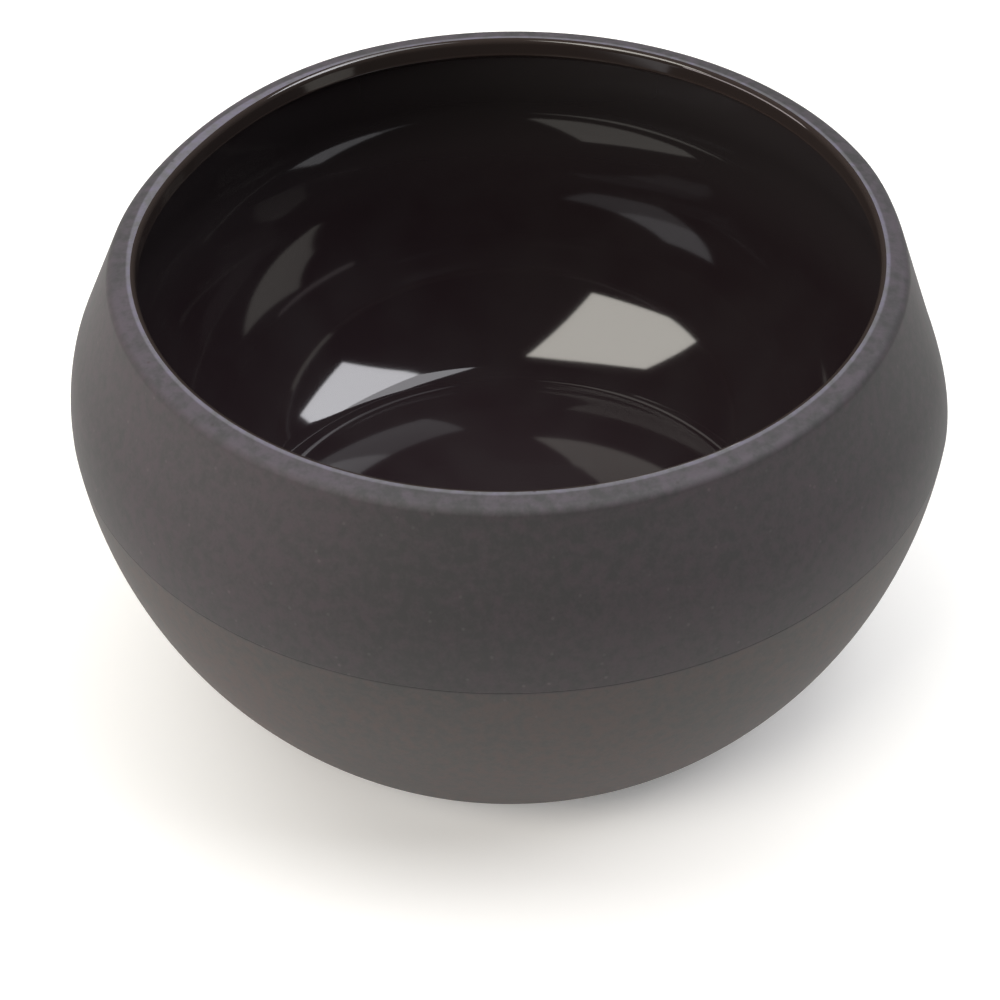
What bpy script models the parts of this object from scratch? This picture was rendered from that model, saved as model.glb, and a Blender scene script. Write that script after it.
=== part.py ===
"""A small porcelain bowl with an incurved, matt dark-grey body and a glossy glaze lining.

Everything is turned about the Z axis.  The table is at z = 0 and lengths are in metres.
"""
import math

import bpy

# The body, outside
WIDEST_DIAMETER = 0.120
HEIGHT = 0.0654
SEAM_HEIGHT = 0.042                # mould parting line, at the widest circle
SHOULDER_TURN = 0.0055             # how far above the seam the upright and the leaning wall would meet
SEAM_CREASE = math.radians(4.0)    # the belly starts this much steeper inward than the shoulder ends
FOOT_DIAMETER = 0.081              # where the belly's curve would reach the table
FOOT_EDGE_RADIUS = 0.002
FOOT_WIDTH = 0.006                 # flat ring that the bowl stands on
BASE_RECESS = 0.003                # depth of the hollow inside the foot ring

# The lip
MOUTH_DIAMETER = 0.098
LIP_WIDTH = 0.0034
LIP_FALL = 0.0005                  # the lip's top slopes outward by this much
LIP_EDGE_RADIUS = 0.0008
LIP_FACE_DROP = 0.0014             # the lip's inner face hangs this far below where it would meet the wall

# The inside
WALL = 0.0036                      # outer face to glazed face, at the seam and above it
INSIDE_BELLY_RADIUS = 0.040        # rounder than the outside, so the wall thickens towards the foot
FLOOR_THICKNESS = 0.0065           # underside to glazed floor
FLOOR_FILLET_RADIUS = 0.005
GLAZE_THICKNESS = 0.0005
GLAZE_CLEARANCE = 0.0003

# Facets
TURN_STEPS = 64
BELLY_STEPS = 10
SHOULDER_STEPS = 4
FILLET_STEPS = 4
AXIS_MERGE = 0.00001

WIDEST_RADIUS = WIDEST_DIAMETER / 2
MOUTH_RADIUS = MOUTH_DIAMETER / 2
UPRIGHT = 0.0
LEVEL_DOWN = -math.pi / 2


def clear_scene():
    for old in list(bpy.data.objects):
        bpy.data.objects.remove(old, do_unlink=True)


def along(start, end, distance):
    """The point at a distance from start, on the way to end."""
    length = math.dist(start, end)
    share = distance / length
    return (start[0] + (end[0] - start[0]) * share, start[1] + (end[1] - start[1]) * share)


def arc(centre, radius, first_angle, last_angle, steps):
    """Points on a circle, both ends included; angles are measured from the outward direction."""
    points = []
    for step in range(steps + 1):
        angle = first_angle + (last_angle - first_angle) * step / steps
        points.append((centre[0] + radius * math.cos(angle), centre[1] + radius * math.sin(angle)))
    return points


def arc_onto_level(centre, radius, first_angle, level, fillet):
    """An arc that runs down and in, then turns through a fillet into a level face."""
    turn_height = level + fillet
    turn_reach = math.sqrt((radius - fillet) ** 2 - (centre[1] - turn_height) ** 2)
    turn_centre = (centre[0] + turn_reach, turn_height)
    turn_angle = math.atan2(turn_height - centre[1], turn_reach)
    curve = arc(centre, radius, first_angle, turn_angle, BELLY_STEPS)
    turn = arc(turn_centre, fillet, turn_angle, LEVEL_DOWN, FILLET_STEPS)
    return curve + turn[1:]


def round_corner(before, corner, after, radius):
    """Points of a fillet between two straight runs that meet at a corner."""
    to_before = along(corner, before, 1.0)
    to_after = along(corner, after, 1.0)
    middle = ((to_before[0] + to_after[0]) / 2, (to_before[1] + to_after[1]) / 2)
    half_angle = math.asin(math.dist(to_before, to_after) / 2)
    setback = radius / math.tan(half_angle)
    centre = along(corner, middle, radius / math.sin(half_angle))
    touch_before = along(corner, before, setback)
    touch_after = along(corner, after, setback)
    first = math.atan2(touch_before[1] - centre[1], touch_before[0] - centre[0])
    last = math.atan2(touch_after[1] - centre[1], touch_after[0] - centre[0])
    return arc(centre, radius, first, last, FILLET_STEPS)


def moved_outward(outline, distance):
    """The outline of a cavity moved into its wall by a distance, point for point."""
    moved = []
    for index, point in enumerate(outline):
        before = outline[max(index - 1, 0)]
        after = outline[min(index + 1, len(outline) - 1)]
        ways = []
        for start, end in ((before, point), (point, after)):
            if start != end:
                way = along((0.0, 0.0), (end[0] - start[0], end[1] - start[1]), 1.0)
                ways.append((-way[1], way[0]))
        normal = (sum(way[0] for way in ways), sum(way[1] for way in ways))
        stretch = len(ways) * distance / (normal[0] ** 2 + normal[1] ** 2)
        moved.append((point[0] + normal[0] * stretch, point[1] + normal[1] * stretch))
    return moved


def lip_top(radius):
    """The height of the lip's sloping top at a distance from the axis."""
    return HEIGHT - LIP_FALL * (radius - MOUTH_RADIUS) / LIP_WIDTH


# The outer wall: upright at the seam, turning through the shoulder into a straight lean up to the lip.
LIP_CORNER = (MOUTH_RADIUS + LIP_WIDTH, HEIGHT - LIP_FALL)
SHOULDER_CORNER = (WIDEST_RADIUS, SEAM_HEIGHT + SHOULDER_TURN)
LEAN = math.atan2(SHOULDER_CORNER[0] - LIP_CORNER[0], LIP_CORNER[1] - SHOULDER_CORNER[1])
SHOULDER_RADIUS = SHOULDER_TURN / math.tan(LEAN / 2)
SHOULDER_CENTRE = (WIDEST_RADIUS - SHOULDER_RADIUS, SEAM_HEIGHT)

# The belly: one arc from the seam, with its crease, to the edge of the foot.
BELLY_FALL = (FOOT_DIAMETER / 2 - WIDEST_RADIUS, -SEAM_HEIGHT)
BELLY_INWARD = (-math.cos(SEAM_CREASE), math.sin(SEAM_CREASE))
BELLY_RADIUS = ((BELLY_FALL[0] ** 2 + BELLY_FALL[1] ** 2)
                / (2 * (BELLY_FALL[0] * BELLY_INWARD[0] + BELLY_FALL[1] * BELLY_INWARD[1])))
BELLY_CENTRE = (WIDEST_RADIUS + BELLY_RADIUS * BELLY_INWARD[0], SEAM_HEIGHT + BELLY_RADIUS * BELLY_INWARD[1])

# The inside: upright at the seam's height, then one arc down to the floor.
INSIDE_BELLY_CENTRE = (WIDEST_RADIUS - WALL - INSIDE_BELLY_RADIUS, SEAM_HEIGHT)
FLOOR_HEIGHT = BASE_RECESS + FLOOR_THICKNESS


def inside_outline():
    """The glazed face, from the lip's inner edge down to the middle of the floor."""
    shoulder = arc(SHOULDER_CENTRE, SHOULDER_RADIUS - WALL, LEAN, UPRIGHT, SHOULDER_STEPS)
    wall_meets_face = shoulder[0][1] + (shoulder[0][0] - MOUTH_RADIUS) / math.tan(LEAN)
    face_foot = (MOUTH_RADIUS, wall_meets_face - LIP_FACE_DROP)
    # Below the lip's face a ledge runs out and down at 45 degrees until it meets the leaning wall.
    ledge = LIP_FACE_DROP * math.tan(LEAN) / (1 - math.tan(LEAN))
    ledge_foot = (face_foot[0] + ledge, face_foot[1] - ledge)
    belly = arc_onto_level(INSIDE_BELLY_CENTRE, INSIDE_BELLY_RADIUS, UPRIGHT, FLOOR_HEIGHT, FLOOR_FILLET_RADIUS)
    return [(MOUTH_RADIUS, HEIGHT), face_foot, ledge_foot] + shoulder + belly[1:] + [(0.0, FLOOR_HEIGHT)]


def outside_outline(lip_inner_edge):
    """The bare face, from the lip's inner edge down the outside to the middle of the underside."""
    lip_edge = round_corner(lip_inner_edge, LIP_CORNER, SHOULDER_CORNER, LIP_EDGE_RADIUS)
    shoulder = arc(SHOULDER_CENTRE, SHOULDER_RADIUS, LEAN, UPRIGHT, SHOULDER_STEPS)
    belly = arc_onto_level(BELLY_CENTRE, BELLY_RADIUS, -SEAM_CREASE, 0.0, FOOT_EDGE_RADIUS)
    hollow_radius = belly[-1][0] - FOOT_WIDTH
    hollow = arc((hollow_radius - BASE_RECESS, 0.0), BASE_RECESS, UPRIGHT, math.pi / 2, FILLET_STEPS)
    return [lip_inner_edge] + lip_edge + shoulder + belly[1:] + hollow + [(0.0, BASE_RECESS)]


def lining_outline(depth):
    """The inside outline set back into the wall, with its top cut to the lip's slope."""
    outline = moved_outward(inside_outline(), depth)
    edge_radius = outline[0][0]
    outline[0] = (edge_radius, lip_top(edge_radius))
    return outline


def fired_clay(name, colour, roughness, specular):
    material = bpy.data.materials.new(name)
    material.use_nodes = True
    shader = material.node_tree.nodes["Principled BSDF"]
    shader.inputs["Base Color"].default_value = (*colour, 1.0)
    shader.inputs["Roughness"].default_value = roughness
    shader.inputs["Metallic"].default_value = 0.0
    shader.inputs["Specular IOR Level"].default_value = specular
    return material


def turned(name, outline, material):
    """A solid turned from an outline that starts and ends on the axis."""
    mesh = bpy.data.meshes.new(name)
    points = [(radius, 0.0, height) for radius, height in outline]
    mesh.from_pydata(points, [(index, index + 1) for index in range(len(points) - 1)], [])
    mesh.materials.append(material)
    piece = bpy.data.objects.new(name, mesh)
    bpy.context.scene.collection.objects.link(piece)
    screw = piece.modifiers.new("turn", "SCREW")
    screw.axis = "Z"
    screw.angle = 2 * math.pi
    screw.steps = TURN_STEPS
    screw.render_steps = TURN_STEPS
    screw.use_merge_vertices = True
    screw.merge_threshold = AXIS_MERGE
    screw.use_smooth_shade = True
    return piece


clear_scene()

# Bare fired porcelain, coloured through: matt, faintly violet dark grey.
bare_porcelain = fired_clay("bare_porcelain", (0.066, 0.062, 0.068), 0.75, 0.35)
# Fired glaze: brown-black and glassy.
dark_glaze = fired_clay("dark_glaze", (0.010, 0.007, 0.007), 0.06, 0.5)

# The body's cavity leaves room for the glaze and its clearance.
cavity = lining_outline(GLAZE_THICKNESS + GLAZE_CLEARANCE)
body = turned("bowl_body", cavity[::-1] + outside_outline(cavity[0])[1:], bare_porcelain)

# The glaze is a thin lining that reaches up to the lip's inner edge.
glaze = turned("inside_glaze", lining_outline(0.0)[::-1] + lining_outline(GLAZE_THICKNESS), dark_glaze)
glaze.parent = body
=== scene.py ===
import math

import bmesh
import bpy
from mathutils import Matrix, Vector


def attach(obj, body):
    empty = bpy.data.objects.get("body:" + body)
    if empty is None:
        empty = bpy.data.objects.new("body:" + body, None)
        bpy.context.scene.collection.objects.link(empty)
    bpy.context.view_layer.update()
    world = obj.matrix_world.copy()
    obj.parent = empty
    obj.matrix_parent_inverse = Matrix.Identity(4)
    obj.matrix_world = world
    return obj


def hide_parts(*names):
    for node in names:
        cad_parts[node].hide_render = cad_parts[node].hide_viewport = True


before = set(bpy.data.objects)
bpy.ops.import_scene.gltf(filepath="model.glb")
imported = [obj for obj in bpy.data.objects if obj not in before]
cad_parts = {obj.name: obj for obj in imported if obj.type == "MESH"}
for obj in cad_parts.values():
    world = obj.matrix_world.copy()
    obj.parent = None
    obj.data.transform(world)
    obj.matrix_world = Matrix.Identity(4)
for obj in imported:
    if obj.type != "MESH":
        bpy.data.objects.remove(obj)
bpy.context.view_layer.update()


# Bowl body: one slip-cast porcelain body, coloured through and left bare on the outside and the lip.
# It is cast in a plaster mould that parts at the widest circle, where a faint crease and a fine line stay.
# The lip is cut level and sponged round, and the foot is ground flat.
MM = 0.001
WIDEST_RADIUS = 60.0 * MM
HEIGHT = 65.65 * MM            # before the lip is rounded
SEAM_HEIGHT = 42.0 * MM
SHOULDER_TURN = 5.5 * MM       # how far above the seam the upright and the leaning wall would meet
SEAM_CREASE = math.radians(4.0)
SEAM_GROOVE = 0.04 * MM        # depth of the fine line that the mould left along the crease
FOOT_REACH = 40.5 * MM         # where the belly's curve would reach the table
FOOT_EDGE = 2.0 * MM
FOOT_WIDTH = 6.0 * MM
BASE_RECESS = 3.0 * MM
MOUTH_RADIUS = 49.0 * MM
LIP_WIDTH = 3.6 * MM
LIP_FALL = 0.6 * MM
LIP_EDGE = 1.8 * MM
CREST = 0.75 * MM              # round of the lip's inner edge
CREST_DEPTH = 1.6 * MM         # how far the bare crest reaches down inside
LIP_FACE_DROP = 1.4 * MM       # the lip's inner face hangs this far below where it would meet the wall
WALL = 3.6 * MM
INSIDE_BELLY = 40.0 * MM
FACE_ROUND = 0.6 * MM          # round of the lip face's lower edge
FLOOR_HEIGHT = 9.5 * MM
FLOOR_FILLET = 6.0 * MM
CAVITY_DEPTH = 0.4 * MM        # how far behind the glazed face the clay lies
GLAZE_PROUD = 0.05 * MM        # how far the glaze stands out from the bare crest
WHEEL_STEPS = 288
ARC_RUN = 1.2 * MM
ARC_TURN = math.radians(3.0)
GUARD = 0.12 * MM              # a point this close to each end of a run keeps the shading of its end crisp
WELD = 0.002 * MM

lip_outer = (MOUTH_RADIUS + LIP_WIDTH, HEIGHT - LIP_FALL)
lip_slope = math.atan2(LIP_FALL, LIP_WIDTH)
lean = math.atan2(WIDEST_RADIUS - lip_outer[0], lip_outer[1] - SEAM_HEIGHT - SHOULDER_TURN)
shoulder_radius = SHOULDER_TURN / math.tan(lean / 2)
shoulder_centre = (WIDEST_RADIUS - shoulder_radius, SEAM_HEIGHT)
belly_fall = (FOOT_REACH - WIDEST_RADIUS, -SEAM_HEIGHT)
belly_inward = (-math.cos(SEAM_CREASE), math.sin(SEAM_CREASE))
belly_radius = ((belly_fall[0] ** 2 + belly_fall[1] ** 2)
                / (2 * (belly_fall[0] * belly_inward[0] + belly_fall[1] * belly_inward[1])))
belly_centre = (WIDEST_RADIUS + belly_radius * belly_inward[0],
                SEAM_HEIGHT + belly_radius * belly_inward[1])
inside_centre = (WIDEST_RADIUS - WALL - INSIDE_BELLY, SEAM_HEIGHT)


def first_point(name, radius, height):
    """A new piece that is one point of an outline: a small plane drawn together to its middle."""
    bpy.ops.object.select_all(action="DESELECT")
    bpy.ops.mesh.primitive_plane_add(size=MM, location=(radius, 0.0, height))
    piece = bpy.context.object
    piece.name = name
    piece.data.name = name
    bpy.ops.object.transform_apply(location=True, rotation=True, scale=True)
    bpy.ops.object.mode_set(mode="EDIT")
    bpy.ops.mesh.select_mode(type="VERT")
    bpy.ops.mesh.select_all(action="SELECT")
    bpy.ops.mesh.merge(type="CENTER")
    return piece


def last_point():
    drawn = bmesh.from_edit_mesh(bpy.context.object.data)
    return next(point.co.copy() for point in drawn.verts if point.select)


def draw_to(radius, height):
    """A straight run from the last point, with a guard point near each end."""
    way = Vector((radius, 0.0, height)) - last_point()
    guard = min(GUARD, way.length / 4)
    for reach in (guard, way.length - 2 * guard, guard):
        bpy.ops.mesh.extrude_vertices_move(TRANSFORM_OT_translate={"value": way.normalized() * reach})


def draw_round(centre, angle):
    """An arc from the last point about a centre, with guard points.

    On the outer side of the centre, a positive angle falls and a negative one rises.
    """
    middle = Vector((centre[0], 0.0, centre[1]))
    radius = (last_point() - middle).length
    guard = math.copysign(min(GUARD / radius, abs(angle) / 8), angle)
    steps = math.ceil(max(abs(angle) / ARC_TURN, abs(angle) * radius / ARC_RUN))
    for count, share in ((1, guard), (steps, angle - 2 * guard), (1, guard)):
        bpy.ops.mesh.spin(steps=count, angle=share, center=middle, axis=(0.0, -1.0, 0.0))


def fillet_onto_level(centre, radius, level, fillet):
    """The centre of a fillet that turns an inward falling arc onto a level face, and its first angle."""
    turn_height = level + fillet
    reach = math.sqrt((radius - fillet) ** 2 - (centre[1] - turn_height) ** 2)
    return (centre[0] + reach, turn_height), math.atan2(centre[1] - turn_height, reach)


def draw_inside(depth):
    """From the lip's inner face down to the middle of the floor, a depth behind the glazed face."""
    end_reach = shoulder_radius - WALL
    end_radius = shoulder_centre[0] + end_reach * math.cos(lean)
    end_height = shoulder_centre[1] + end_reach * math.sin(lean)
    face_foot = end_height + (end_radius - MOUTH_RADIUS) / math.tan(lean) - LIP_FACE_DROP
    ledge = LIP_FACE_DROP * math.tan(lean) / (1 - math.tan(lean))
    face_end = face_foot + FACE_ROUND * math.tan(math.pi / 8)
    draw_to(MOUTH_RADIUS + depth, face_end)
    draw_round((MOUTH_RADIUS + FACE_ROUND, face_end), -math.pi / 4)
    draw_to(MOUTH_RADIUS + ledge + depth * math.cos(lean), face_foot - ledge + depth * math.sin(lean))
    draw_to(end_radius + depth * math.cos(lean), end_height + depth * math.sin(lean))
    draw_round(shoulder_centre, lean)
    fillet_centre, fillet_angle = fillet_onto_level(inside_centre, INSIDE_BELLY, FLOOR_HEIGHT, FLOOR_FILLET)
    draw_round(inside_centre, fillet_angle)
    draw_round(fillet_centre, math.pi / 2 - fillet_angle)
    draw_to(0.0, FLOOR_HEIGHT - depth)


def turn_on_wheel():
    """The outline turned once about the bowl's axis, closed and facing outward."""
    bpy.ops.mesh.select_all(action="SELECT")
    bpy.ops.mesh.spin(steps=WHEEL_STEPS, angle=2 * math.pi, center=(0.0, 0.0, 0.0), axis=(0.0, 0.0, 1.0))
    bpy.ops.mesh.select_all(action="SELECT")
    bpy.ops.mesh.remove_doubles(threshold=WELD)
    bpy.ops.mesh.normals_make_consistent(inside=False)
    bpy.ops.object.mode_set(mode="OBJECT")
    bpy.ops.object.shade_smooth()


# The outline runs from the middle of the underside over the foot, belly, shoulder and lip, and down inside.
foot_centre, foot_angle = fillet_onto_level(belly_centre, belly_radius, 0.0, FOOT_EDGE)
hollow_radius = foot_centre[0] - FOOT_WIDTH
groove_turn = math.asin(2 * SEAM_GROOVE / shoulder_radius)
lip_turn = math.pi / 2 - lip_slope - lean
lip_setback = LIP_EDGE * math.tan(lip_turn / 2)
lip_start = (lip_outer[0] + lip_setback * math.sin(lean), lip_outer[1] - lip_setback * math.cos(lean))
lip_edge_centre = (lip_start[0] - LIP_EDGE * math.cos(lean), lip_start[1] - LIP_EDGE * math.sin(lean))
crest_turn = math.pi / 2 + lip_slope
crest_face = MOUTH_RADIUS + GLAZE_PROUD
crest_height = HEIGHT - CREST * math.tan(crest_turn / 2)
crest_centre = (crest_face + CREST, crest_height)
crest_start = (crest_centre[0] + CREST * math.sin(lip_slope), crest_centre[1] + CREST * math.cos(lip_slope))

body = first_point("bowl_body_piece", 0.0, BASE_RECESS)
draw_to(hollow_radius - BASE_RECESS, BASE_RECESS)
draw_round((hollow_radius - BASE_RECESS, 0.0), math.pi / 2)
draw_to(foot_centre[0], 0.0)
draw_round(foot_centre, foot_angle - math.pi / 2)
draw_round(belly_centre, SEAM_CREASE - foot_angle)
draw_to(WIDEST_RADIUS - SEAM_GROOVE, SEAM_HEIGHT + SEAM_GROOVE)
draw_to(shoulder_centre[0] + shoulder_radius * math.cos(groove_turn), SEAM_HEIGHT + 2 * SEAM_GROOVE)
draw_round(shoulder_centre, groove_turn - lean)
draw_to(*lip_start)
draw_round(lip_edge_centre, -lip_turn)
draw_to(*crest_start)
draw_round(crest_centre, -crest_turn)
draw_to(crest_face, HEIGHT - CREST_DEPTH)
draw_to(MOUTH_RADIUS + CAVITY_DEPTH, HEIGHT - CREST_DEPTH - CAVITY_DEPTH)
draw_inside(CAVITY_DEPTH)
turn_on_wheel()


def sink(piece, place, depth, reach, skin_only):
    """A place pressed towards the axis, fading out to a reach; skin_only spares the wall's other face."""
    bpy.ops.object.select_all(action="DESELECT")
    piece.select_set(True)
    bpy.context.view_layer.objects.active = piece
    bpy.ops.object.mode_set(mode="EDIT")
    bpy.ops.mesh.select_all(action="DESELECT")
    drawn = bmesh.from_edit_mesh(piece.data)
    min(drawn.verts, key=lambda point: (point.co - place).length).select = True
    inward = Vector((-place.x, -place.y, 0.0)).normalized()
    bpy.ops.transform.translate(value=inward * depth, use_proportional_edit=True,
                                use_proportional_connected=skin_only, proportional_edit_falloff="SMOOTH",
                                proportional_size=reach)
    bpy.ops.object.mode_set(mode="OBJECT")


# The bowl sank a little as the clay dried: the right of the shoulder is flatter than the rest, and so is
# the mouth at the back left, where the glaze follows it.
FLAT_PLACE = Vector((57.8, 4.5, 50.0)) * MM
FLAT_DEPTH = 1.5 * MM
FLAT_REACH = 22.0 * MM
SUNK_ANGLE = math.radians(150.0)
SUNK_PLACE = Vector((crest_face * math.cos(SUNK_ANGLE), crest_face * math.sin(SUNK_ANGLE), crest_height))
SUNK_DEPTH = 1.1 * MM
SUNK_REACH = 34.0 * MM
sink(body, FLAT_PLACE, FLAT_DEPTH, FLAT_REACH, True)
sink(body, SUNK_PLACE, SUNK_DEPTH, SUNK_REACH, False)


def linear(colour):
    """An sRGB hex colour as linear RGBA."""
    shares = [int(colour[place:place + 2], 16) / 255 for place in (1, 3, 5)]
    return [share / 12.92 if share <= 0.04045 else ((share + 0.055) / 1.055) ** 2.4
            for share in shares] + [1.0]


def add_node(tree, kind, settings=None, **links):
    """A node with its settings, and its inputs by name: a socket is linked, anything else is set."""
    node = tree.nodes.new(kind)
    for name, value in (settings or {}).items():
        setattr(node, name, value)
    for name, value in links.items():
        place = int(name[1:]) if name[0] == "i" and name[1:].isdigit() else name.replace("_", " ")
        if isinstance(value, bpy.types.NodeSocket):
            tree.links.new(value, node.inputs[place])
        else:
            node.inputs[place].default_value = value
    return node


def new_material(name):
    """A material with its node tree and its shader."""
    material = bpy.data.materials.new(name)
    material.use_nodes = True
    return material, material.node_tree, material.node_tree.nodes["Principled BSDF"]


# Bisque porcelain with a stain in the clay: matt and faintly violet dark grey, smooth to the touch. The eye
# sees a soft sheen towards the edges and a hardly visible grain and grog. The colour also holds painted
# light: paler and warmer below the seam, most at the foot, for light bounced up from the paper; darker just
# above the seam, for shade; a painted sheen on the top of the lip and a painted highlight along its crest.
# Painted light: paler and warmer below the seam, most at the foot, for light bounced up from the paper.
CLAY_FOOT_BOUNCE_LIGHT = "#47403F"
CLAY_BELOW_BOUNCE_LIGHT = "#383332"
# Painted shade: darker just above the seam, fading upward into the upper tone.
CLAY_SEAM_SHADE = "#302C2E"
CLAY_ABOVE = "#343032"
# Painted sheen: the top of the lip is painted paler.
CLAY_LIP_SHEEN = "#494649"
# Painted highlight: the lip's crest is painted palest.
CLAY_CREST_HIGHLIGHT = "#636168"
CLAY_SPECK = "#3F3B3C"
SEAM_SHADE_RISE = 18.0 * MM         # how far above the seam the clay reaches its upper tone
SEAM_TONE_FROM = SEAM_HEIGHT - 0.4 * MM
SEAM_TONE_TO = SEAM_HEIGHT - 0.1 * MM
LIP_SHEEN_FROM = HEIGHT - 1.25 * MM
LIP_SHEEN_TO = HEIGHT - 0.55 * MM
CREST_HIGHLIGHT_RADIUS = 50.15 * MM
CREST_HIGHLIGHT_BLEND = 0.12 * MM
GRAIN = 0.45 * MM              # real grit is under 0.1 mm; drawn coarser so that it shows
MOTTLE = 1.4 * MM
BLOTCH = 24 * MM
SPECK_APART = 2.6 * MM
SPECK_SIZE = 0.3 * MM
SPECK_CORE = 0.3               # share of a speck that has its full colour
MOTTLE_SHARE = 2.2             # against the blotches
PATCH_SPAN = 0.4               # how far the patches swing about their middle
SHADE_CHANGE = 0.2
WARMTH_CHANGE = 0.7
GRIT_RELIEF = 0.02 * MM
BISQUE_ROUGHNESS = 0.62
BISQUE_IOR = 1.5
patch_middle = (MOTTLE_SHARE + 1) / 2
blend_middle = patch_middle + 0.5
stained_bisque, tree, shader = new_material("stained_bisque_porcelain")
place = add_node(tree, "ShaderNodeTexCoord").outputs["Object"]
height = add_node(tree, "ShaderNodeSeparateXYZ", Vector=place).outputs["Z"]
# Painted bounce light below the seam and painted shade just above it, by height.
fallen = add_node(tree, "ShaderNodeMapRange", Value=height, From_Min=SEAM_HEIGHT, From_Max=0.0)
below = add_node(tree, "ShaderNodeMix", {"data_type": "RGBA"}, i0=fallen.outputs[0],
                 i6=linear(CLAY_BELOW_BOUNCE_LIGHT), i7=linear(CLAY_FOOT_BOUNCE_LIGHT))
risen = add_node(tree, "ShaderNodeMapRange", Value=height,
                 From_Min=SEAM_HEIGHT, From_Max=SEAM_HEIGHT + SEAM_SHADE_RISE)
above = add_node(tree, "ShaderNodeMix", {"data_type": "RGBA"}, i0=risen.outputs[0],
                 i6=linear(CLAY_SEAM_SHADE), i7=linear(CLAY_ABOVE))
half = add_node(tree, "ShaderNodeMapRange", Value=height, From_Min=SEAM_TONE_FROM, From_Max=SEAM_TONE_TO)
tint = add_node(tree, "ShaderNodeMix", {"data_type": "RGBA"}, i0=half.outputs[0],
                i6=below.outputs[2], i7=above.outputs[2])
level = add_node(tree, "ShaderNodeVectorMath", {"operation": "MULTIPLY"}, i0=place, i1=(1.0, 1.0, 0.0))
reach = add_node(tree, "ShaderNodeVectorMath", {"operation": "LENGTH"}, i0=level.outputs[0])
# Painted highlight along the crest of the lip.
near = add_node(tree, "ShaderNodeMapRange", Value=reach.outputs["Value"],
                From_Min=CREST_HIGHLIGHT_RADIUS + CREST_HIGHLIGHT_BLEND, From_Max=CREST_HIGHLIGHT_RADIUS - CREST_HIGHLIGHT_BLEND)
# Painted sheen on the top of the lip.
high = add_node(tree, "ShaderNodeMapRange", Value=height, From_Min=LIP_SHEEN_FROM, From_Max=LIP_SHEEN_TO)
lipped = add_node(tree, "ShaderNodeMix", {"data_type": "RGBA"}, i0=high.outputs[0],
                  i6=tint.outputs[2], i7=linear(CLAY_LIP_SHEEN))
crest = add_node(tree, "ShaderNodeMath", {"operation": "MULTIPLY"}, i0=near.outputs[0], i1=high.outputs[0])
edged = add_node(tree, "ShaderNodeMix", {"data_type": "RGBA"}, i0=crest.outputs[0],
                 i6=lipped.outputs[2], i7=linear(CLAY_CREST_HIGHLIGHT))
grog = add_node(tree, "ShaderNodeTexVoronoi", Vector=place, Scale=1 / SPECK_APART)
speck = add_node(tree, "ShaderNodeMapRange", Value=grog.outputs["Distance"],
                 From_Min=SPECK_SIZE / SPECK_APART, From_Max=SPECK_CORE * SPECK_SIZE / SPECK_APART)
specked = add_node(tree, "ShaderNodeMix", {"data_type": "RGBA"}, i0=speck.outputs[0],
                   i6=edged.outputs[2], i7=linear(CLAY_SPECK))
grain = add_node(tree, "ShaderNodeTexNoise", Vector=place, Scale=1 / GRAIN, Detail=3.0, Roughness=0.6)
mottle = add_node(tree, "ShaderNodeTexNoise", Vector=place, Scale=1 / MOTTLE, Detail=2.0)
blotch = add_node(tree, "ShaderNodeTexNoise", Vector=place, Scale=1 / BLOTCH, Detail=2.0)
patchy = add_node(tree, "ShaderNodeMath", {"operation": "MULTIPLY_ADD"},
                  i0=mottle.outputs["Fac"], i1=MOTTLE_SHARE, i2=blotch.outputs["Fac"])
blend = add_node(tree, "ShaderNodeMath", {"operation": "ADD"},
                 i0=patchy.outputs[0], i1=grain.outputs["Fac"])
shade = add_node(tree, "ShaderNodeMapRange", Value=blend.outputs[0],
                 From_Min=blend_middle - PATCH_SPAN, From_Max=blend_middle + PATCH_SPAN,
                 To_Min=1 - SHADE_CHANGE, To_Max=1 + SHADE_CHANGE)
warmth = add_node(tree, "ShaderNodeMapRange", Value=patchy.outputs[0],
                  From_Min=patch_middle - PATCH_SPAN, From_Max=patch_middle + PATCH_SPAN,
                  To_Min=1 - WARMTH_CHANGE, To_Max=1 + WARMTH_CHANGE)
colour = add_node(tree, "ShaderNodeHueSaturation", Value=shade.outputs[0], Saturation=warmth.outputs[0],
                  Color=specked.outputs[2])
tree.links.new(colour.outputs[0], shader.inputs["Base Color"])
relief = add_node(tree, "ShaderNodeBump", Strength=0.5, Distance=GRIT_RELIEF, Height=grain.outputs["Fac"])
tree.links.new(relief.outputs["Normal"], shader.inputs["Normal"])
shader.inputs["Roughness"].default_value = BISQUE_ROUGHNESS
shader.inputs["IOR"].default_value = BISQUE_IOR
body.data.materials.append(stained_bisque)
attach(body, "root")
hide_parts("bowl_body")


# Inside glaze: a glassy iron glaze poured into the bowl and fired, so that it is fused to the clay.
# It lines the inside and rolls over the lip's inner edge, where it ends just short of the crest.
GLAZE = 0.5 * MM
GLAZE_BURIED = 0.03 * MM       # how far the glaze's edge starts below the face of the clay
GLAZE_EDGE = math.radians(8.0)
GLAZE_SWELL = math.radians(8.0)
glaze = first_point("inside_glaze_piece", crest_centre[0] - (CREST - GLAZE_BURIED) * math.sin(GLAZE_EDGE),
                    crest_centre[1] + (CREST - GLAZE_BURIED) * math.cos(GLAZE_EDGE))
draw_to(crest_centre[0] - (CREST + GLAZE_PROUD) * math.sin(GLAZE_EDGE + GLAZE_SWELL),
        crest_centre[1] + (CREST + GLAZE_PROUD) * math.cos(GLAZE_EDGE + GLAZE_SWELL))
draw_round(crest_centre, GLAZE_EDGE + GLAZE_SWELL - math.pi / 2)
draw_inside(0.0)
turn_on_wheel()
thickness = glaze.modifiers.new("glaze_thickness", "SOLIDIFY")
thickness.thickness = GLAZE
thickness.offset = -1.0
bpy.ops.object.modifier_apply(modifier=thickness.name)
sink(glaze, SUNK_PLACE, SUNK_DEPTH, SUNK_REACH, False)
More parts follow.
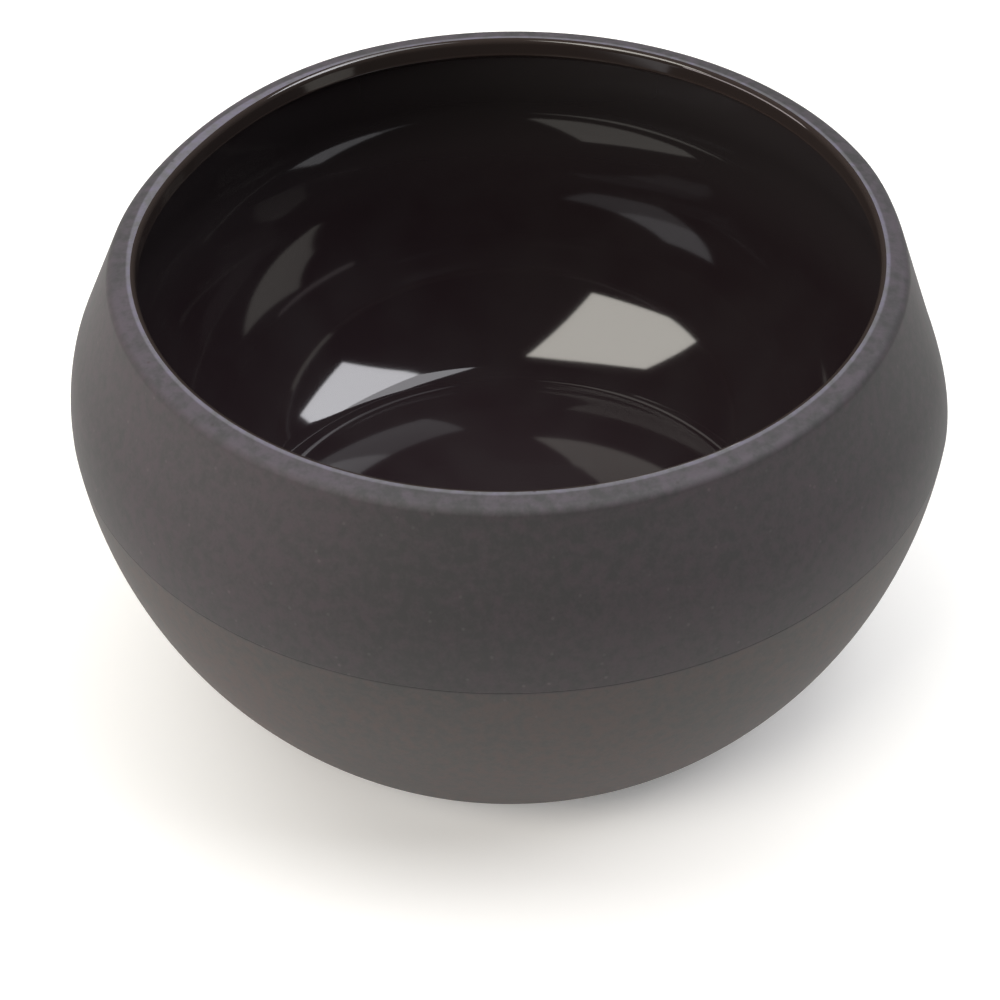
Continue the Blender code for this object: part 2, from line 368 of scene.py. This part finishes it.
# Iron glaze: brown-black and mirror bright, with a faint ripple from the pour. It drained down the wall as
# it melted, so that the eye sees it thinner and greyer up the wall; that grey is partly painted light too,
# lifting the shaded wall under the lip. A paler brown line along the lower edge of the lip's face is a
# painted highlight.
GLAZE_DARK = "#2B2225"
# Greyer up the wall: thinner glaze, and painted light on the shaded wall under the lip.
GLAZE_THIN_AND_LIT = "#403D3D"
# Painted highlight: a paler brown line along the lower edge of the lip's face.
GLAZE_FACE_HIGHLIGHT = "#4C413C"
GLAZE_LIP = "#362F2C"
THIN_LIT_FROM = 34.0 * MM
THIN_LIT_TO = 56.0 * MM
FACE_EDGE = 62.6 * MM          # the lip face's lower edge
EDGE_NEAR = 0.2 * MM           # the tones change between these distances from it
EDGE_FAR = 0.8 * MM
CLOUD = 11 * MM
CLOUD_SHARE = 0.2              # how far the clouds go from the dark tone to the thin one
RIPPLE = 8 * MM
RIPPLE_RELIEF = 0.01 * MM
GLAZE_ROUGHNESS = 0.06
GLAZE_IOR = 1.75               # rich in iron, so above that of plain glass
iron_glaze, tree, shader = new_material("iron_glaze")
place = add_node(tree, "ShaderNodeTexCoord").outputs["Object"]
height = add_node(tree, "ShaderNodeSeparateXYZ", Vector=place).outputs["Z"]
cloud = add_node(tree, "ShaderNodeTexNoise", Vector=place, Scale=1 / CLOUD, Detail=3.0)
# Greyer up the wall: part thinner glaze, part painted light.
thin_lit = add_node(tree, "ShaderNodeMapRange", Value=height, From_Min=THIN_LIT_FROM, From_Max=THIN_LIT_TO)
patchy = add_node(tree, "ShaderNodeMapRange", Value=cloud.outputs["Fac"],
                  From_Min=0.35, From_Max=0.65, To_Max=CLOUD_SHARE)
brown = add_node(tree, "ShaderNodeMath", {"operation": "MAXIMUM"}, i0=thin_lit.outputs[0], i1=patchy.outputs[0])
tint = add_node(tree, "ShaderNodeMix", {"data_type": "RGBA"}, i0=brown.outputs[0],
                i6=linear(GLAZE_DARK), i7=linear(GLAZE_THIN_AND_LIT))
# The painted highlight along the lower edge of the lip's face.
edge = add_node(tree, "ShaderNodeMapRange", Value=height,
                From_Min=FACE_EDGE - EDGE_FAR, From_Max=FACE_EDGE - EDGE_NEAR)
face_highlighted = add_node(tree, "ShaderNodeMix", {"data_type": "RGBA"}, i0=edge.outputs[0],
                  i6=tint.outputs[2], i7=linear(GLAZE_FACE_HIGHLIGHT))
face = add_node(tree, "ShaderNodeMapRange", Value=height,
                From_Min=FACE_EDGE + EDGE_NEAR, From_Max=FACE_EDGE + EDGE_FAR)
toned = add_node(tree, "ShaderNodeMix", {"data_type": "RGBA"}, i0=face.outputs[0],
                 i6=face_highlighted.outputs[2], i7=linear(GLAZE_LIP))
tree.links.new(toned.outputs[2], shader.inputs["Base Color"])
ripple = add_node(tree, "ShaderNodeTexNoise", Vector=place, Scale=1 / RIPPLE, Detail=1.0)
relief = add_node(tree, "ShaderNodeBump", Strength=0.5, Distance=RIPPLE_RELIEF, Height=ripple.outputs["Fac"])
tree.links.new(relief.outputs["Normal"], shader.inputs["Normal"])
shader.inputs["Roughness"].default_value = GLAZE_ROUGHNESS
shader.inputs["IOR"].default_value = GLAZE_IOR
glaze.data.materials.append(iron_glaze)
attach(glaze, "root")
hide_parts("inside_glaze")


# Studio: white paper under the bowl, a window-like soft box at the front left, a flat one overhead at the
# right with a weaker edge, a low one at the left and a pale ceiling, in a dark room.
PAPER_SIZE = 8.0
PAPER_DROP = 0.05 * MM         # a hair under the foot, so that the two faces don't coincide
PAPER_WHITE = "#F5F4F0"
PAPER_LIFT = 0.24              # added for the eye only, so that the lit paper reaches white
FAR_LIFT = 0.9                 # and where the lamps hardly reach
LIFT_FROM = 0.7
LIFT_TO = 1.8
bpy.ops.object.select_all(action="DESELECT")
bpy.ops.mesh.primitive_plane_add(size=PAPER_SIZE, location=(0.0, 0.0, -PAPER_DROP))
paper = bpy.context.object
paper.name = "paper_floor"
# Uncoated white paper: matt, with no sheen of its own.
white_paper, tree, shader = new_material("white_paper")
shader.inputs["Base Color"].default_value = linear(PAPER_WHITE)
shader.inputs["Roughness"].default_value = 0.9
shader.inputs["Specular IOR Level"].default_value = 0.0
path = add_node(tree, "ShaderNodeLightPath")
straight = add_node(tree, "ShaderNodeMath", {"operation": "ADD"},
                    i0=path.outputs["Is Camera Ray"], i1=path.outputs["Is Glossy Ray"])
seen = add_node(tree, "ShaderNodeMath", {"operation": "ADD"},
                i0=straight.outputs[0], i1=path.outputs["Is Transmission Ray"])
place = add_node(tree, "ShaderNodeTexCoord").outputs["Object"]
reach = add_node(tree, "ShaderNodeVectorMath", {"operation": "LENGTH"}, i0=place)
lift = add_node(tree, "ShaderNodeMapRange", Value=reach.outputs["Value"],
                From_Min=LIFT_FROM, From_Max=LIFT_TO, To_Min=PAPER_LIFT, To_Max=FAR_LIFT)
glow = add_node(tree, "ShaderNodeMath", {"operation": "MULTIPLY"}, i0=seen.outputs[0], i1=lift.outputs[0])
shader.inputs["Emission Color"].default_value = (1.0, 1.0, 1.0, 1.0)
tree.links.new(glow.outputs[0], shader.inputs["Emission Strength"])
paper.data.materials.append(white_paper)


def soft_box(name, centre, across, upward, width, height, brightness, colour="#FFFFFF"):
    """An area lamp of an even brightness, where 1 is the brightness of white in the picture."""
    lamp = bpy.data.lights.new(name, "AREA")
    lamp.shape = "RECTANGLE"
    lamp.size = width
    lamp.size_y = height
    lamp.energy = brightness * math.pi * width * height
    lamp.color = linear(colour)[:3]
    box = bpy.data.objects.new(name, lamp)
    bpy.context.scene.collection.objects.link(box)
    across = Vector(across).normalized()
    back = across.cross(Vector(upward)).normalized()
    upward = back.cross(across)
    box.matrix_world = Matrix.Translation(centre) @ Matrix((across, upward, back)).transposed().to_4x4()
    return box


WINDOW_TINT = "#FFFBF2"
OVERHEAD_TINT = "#FAFAFF"
SIDE_TINT = "#FFF1F3"
OVERHEAD_ACROSS = (0.988, -0.156, 0.0)
OVERHEAD_UPWARD = (0.156, 0.988, 0.0)
soft_box("window_left", (-0.598, -0.502, 0.813), (0.964, -0.063, -0.259), (0.254, -0.079, 0.964),
         0.864, 0.713, 4.95, WINDOW_TINT)
soft_box("overhead_right", (0.975, -0.220, 1.212), OVERHEAD_ACROSS, OVERHEAD_UPWARD,
         0.795, 0.68, 6.25, OVERHEAD_TINT)
soft_box("overhead_edge", (0.404, -0.130, 1.212), OVERHEAD_ACROSS, OVERHEAD_UPWARD,
         0.36, 0.68, 2.6, OVERHEAD_TINT)
soft_box("side_left", (-1.18, -0.28, 0.27), (0.1, -1.0, 0.0), (0.0, 0.0, 1.0), 1.0, 0.44, 3.4, SIDE_TINT)
# The ceiling only fills in: the dark glaze shows no picture of it.
ceiling = soft_box("ceiling", (-0.4, 0.55, 1.5), (1.0, 0.0, 0.0), (0.0, 0.94, -0.35), 2.6, 1.8, 2.35)
ceiling.visible_glossy = False

room = bpy.data.worlds.new("dim_room")
room.use_nodes = True
room.node_tree.nodes["Background"].inputs["Color"].default_value = (1.0, 1.0, 1.0, 1.0)
room.node_tree.nodes["Background"].inputs["Strength"].default_value = 0.0
bpy.context.scene.world = room

# The camera stands as it did for the photo: a long lens, looking down, with a slight roll.
ELEVATION = math.radians(42.087)
ROLL = math.radians(1.045)
LENS_MM = 93.898
SENSOR_MM = 36.0
CAMERA_PLACE = Vector((-1.615, -278.30, 270.77)) * MM
lens = bpy.data.cameras.new("camera")
lens.lens = LENS_MM
lens.sensor_width = SENSOR_MM
camera = bpy.data.objects.new("camera", lens)
bpy.context.scene.collection.objects.link(camera)
level = Vector((1.0, 0.0, 0.0))
rise = Vector((0.0, math.sin(ELEVATION), math.cos(ELEVATION)))
camera_right = level * math.cos(ROLL) - rise * math.sin(ROLL)
camera_up = level * math.sin(ROLL) + rise * math.cos(ROLL)
camera_back = camera_right.cross(camera_up)
camera.matrix_world = (Matrix.Translation(CAMERA_PLACE)
                       @ Matrix((camera_right, camera_up, camera_back)).transposed().to_4x4())
bpy.context.scene.camera = camera
bpy.context.scene.view_settings.view_transform = "Standard"
